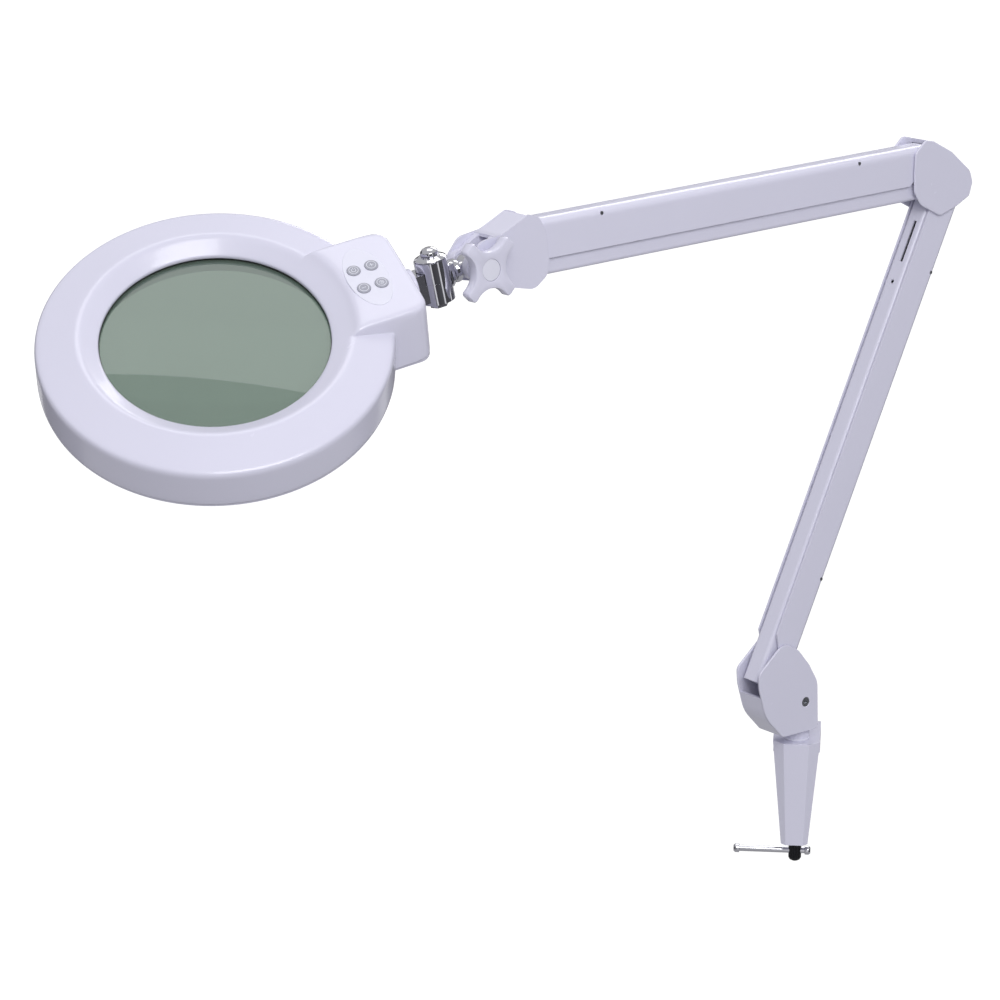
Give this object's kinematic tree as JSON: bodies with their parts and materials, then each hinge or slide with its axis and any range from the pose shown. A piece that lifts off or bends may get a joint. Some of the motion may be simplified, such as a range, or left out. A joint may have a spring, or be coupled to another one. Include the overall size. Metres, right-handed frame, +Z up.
{
  "type": "magnifying lamp",
  "caption": "Clamp-on magnifying lamp with a ring-lit round lens head, a chrome swivel joint and two sprung parallelogram arms.",
  "frame": {"origin": "middle of the clamp's upper contact face, where the table's top lies", "axes": "+Z up, +Y into the table from its edge, +X along the table's edge; the arm is swung 44 degrees about the upright swivel"},
  "size_m": [0.6154, 0.5213, 0.5514],
  "materials": {
    "white_enamel": "smooth satin gloss",
    "white_plastic": "smooth gloss",
    "bush_plastic": "satin",
    "black_rubber": "matte",
    "blackened_steel": "satin",
    "chrome": "polished",
    "steel": "satin",
    "lens_glass": "polished",
    "diffuser_plastic": "frosted",
    "board": "satin",
    "led_white": "gloss",
    "grey_panel": "satin",
    "grey_button": "satin"
  },
  "bodies": {
    "clamp": {"clamp_frame": "white_enamel", "swivel_bush": "bush_plastic", "jaw_pad": "black_rubber"},
    "plate": {"pressure_plate": "steel", "pressure_pad": "black_rubber"},
    "screw": {"clamp_screw": "blackened_steel"},
    "bar": {"tommy_bar": "chrome", "tommy_bar_caps": "chrome"},
    "base": {"swivel_pin": "steel", "base_core": "white_plastic", "base_front_cheek": "white_plastic", "base_back_cheek": "white_plastic", "base_screws": "steel", "base_pins": "steel"},
    "lower_arm": {"lower_outer_channel": "white_enamel", "lower_springs": "steel", "lower_spring_posts": "steel"},
    "lower_guide": {"lower_inner_channel": "white_enamel", "lower_lead": "black_rubber"},
    "elbow": {"elbow_core": "white_plastic", "elbow_front_cheek": "white_plastic", "elbow_back_cheek": "white_plastic", "elbow_screws": "steel", "elbow_pins": "steel"},
    "upper_arm": {"upper_outer_channel": "white_enamel", "upper_springs": "steel", "upper_spring_posts": "steel"},
    "upper_guide": {"upper_inner_channel": "white_enamel", "upper_lead": "black_rubber"},
    "head_knuckle": {"head_knuckle_core": "white_plastic", "head_knuckle_front_cheek": "white_plastic", "head_knuckle_back_cheek": "white_plastic", "head_knuckle_screws": "steel", "head_knuckle_pins": "steel", "tilt_bolt": "steel"},
    "knob": {"star_knob": "white_plastic", "knob_cap": "bush_plastic"},
    "neck": {"neck": "chrome"},
    "hinge": {"shank": "chrome", "hinge_pin": "chrome", "cone_washer": "chrome", "hinge_nut": "chrome", "shank_nut": "steel"},
    "head": {"top_cover": "white_plastic", "bottom_cover": "white_plastic", "cover_screws": "steel", "lens": "lens_glass", "lens_gasket": "black_rubber", "lens_ring": "white_plastic", "led_board": "diffuser_plastic", "leds": "led_white", "diffuser": "diffuser_plastic", "driver_board": "board", "button_board": "board", "button_panel": "grey_panel", "shank_collar": "white_plastic"},
    "power_button": {"power_button": "grey_button"},
    "dim_button": {"dim_button": "grey_button"},
    "bright_button": {"bright_button": "grey_button"},
    "colour_button": {"colour_button": "grey_button"}
  },
  "joints": [
    {"name": "base_swivel", "type": "hinge", "parent": "clamp", "child": "base", "pos_m": [0, -0.032, 0.016], "axis": [0, 0, 1], "range_deg": [-170, 170]},
    {"name": "lower_arm_lean", "type": "hinge", "parent": "base", "child": "lower_arm", "pos_m": [-0.01532, -0.0468, 0.0848], "axis": [0.6947, -0.7193, 0], "range_deg": [-6, 95]},
    {"name": "lower_guide_turn", "type": "hinge", "parent": "base", "child": "lower_guide", "pos_m": [-0.02836, -0.05939, 0.07234], "axis": [0.6947, -0.7193, 0], "range_deg": [-6, 95]},
    {"name": "elbow_level", "type": "hinge", "parent": "lower_arm", "child": "elbow", "pos_m": [0.09926, 0.06386, 0.41876], "axis": [0.6947, -0.7193, 0], "range_deg": [-95, 6]},
    {"name": "upper_arm_lean", "type": "hinge", "parent": "elbow", "child": "upper_arm", "pos_m": [0.0748, 0.04024, 0.44396], "axis": [0.6947, -0.7193, 0], "range_deg": [-50, 30]},
    {"name": "upper_guide_turn", "type": "hinge", "parent": "elbow", "child": "upper_guide", "pos_m": [0.0748, 0.04024, 0.42196], "axis": [0.6947, -0.7193, 0], "range_deg": [-50, 30]},
    {"name": "head_level", "type": "hinge", "parent": "upper_arm", "child": "head_knuckle", "pos_m": [-0.19112, -0.21656, 0.42846], "axis": [0.6947, -0.7193, 0], "range_deg": [-30, 50]},
    {"name": "head_tilt", "type": "hinge", "parent": "head_knuckle", "child": "neck", "pos_m": [-0.22263, -0.24699, 0.41246], "axis": [0.6947, -0.7193, 0], "range_deg": [-60, 45]},
    {"name": "head_swivel", "type": "hinge", "parent": "neck", "child": "hinge", "pos_m": [-0.24291, -0.26658, 0.40569], "axis": [-0.1679, -0.1622, 0.9724], "range_deg": [-40, 55]},
    {"name": "head_roll", "type": "hinge", "parent": "hinge", "child": "head", "pos_m": [-0.24291, -0.26658, 0.40569], "axis": [0.8638, 0.451, 0.2244], "range_deg": [-100, 60]},
    {"name": "knob_turn", "type": "hinge", "parent": "head_knuckle", "child": "knob", "pos_m": [-0.20873, -0.26137, 0.41246], "axis": [0.6947, -0.7193, 0], "continuous": true},
    {"name": "plate_travel", "type": "slide", "parent": "clamp", "child": "plate", "axis": [0, 0, 1], "range_m": [-0.03, 0.0095]},
    {"name": "screw_turn", "type": "hinge", "parent": "plate", "child": "screw", "pos_m": [0, 0, -0.05], "axis": [0, 0, 1], "range_deg": [-5400, 1710]},
    {"name": "bar_slide", "type": "slide", "parent": "screw", "child": "bar", "axis": [1, 0, 0], "range_m": [0, 0.035]},
    {"name": "power_press", "type": "slide", "parent": "head", "child": "power_button", "axis": [-0.0834, 0.5673, -0.8193], "range_m": [0, 0.0004], "stiffness_N_per_m": 900, "springref_m": -0.0004},
    {"name": "dim_press", "type": "slide", "parent": "head", "child": "dim_button", "axis": [-0.0834, 0.5673, -0.8193], "range_m": [0, 0.0004], "stiffness_N_per_m": 900, "springref_m": -0.0004},
    {"name": "bright_press", "type": "slide", "parent": "head", "child": "bright_button", "axis": [-0.0834, 0.5673, -0.8193], "range_m": [0, 0.0004], "stiffness_N_per_m": 900, "springref_m": -0.0004},
    {"name": "colour_press", "type": "slide", "parent": "head", "child": "colour_button", "axis": [-0.0834, 0.5673, -0.8193], "range_m": [0, 0.0004], "stiffness_N_per_m": 900, "springref_m": -0.0004}
  ],
  "couplings": [
    {"joint": "lower_guide_turn", "follows": "lower_arm_lean", "ratio": 1},
    {"joint": "elbow_level", "follows": "lower_arm_lean", "ratio": -1},
    {"joint": "upper_guide_turn", "follows": "upper_arm_lean", "ratio": 1},
    {"joint": "head_level", "follows": "upper_arm_lean", "ratio": -1},
    {"joint": "plate_travel", "follows": "screw_turn", "m_per_rad": 0.00031831}
  ]
}
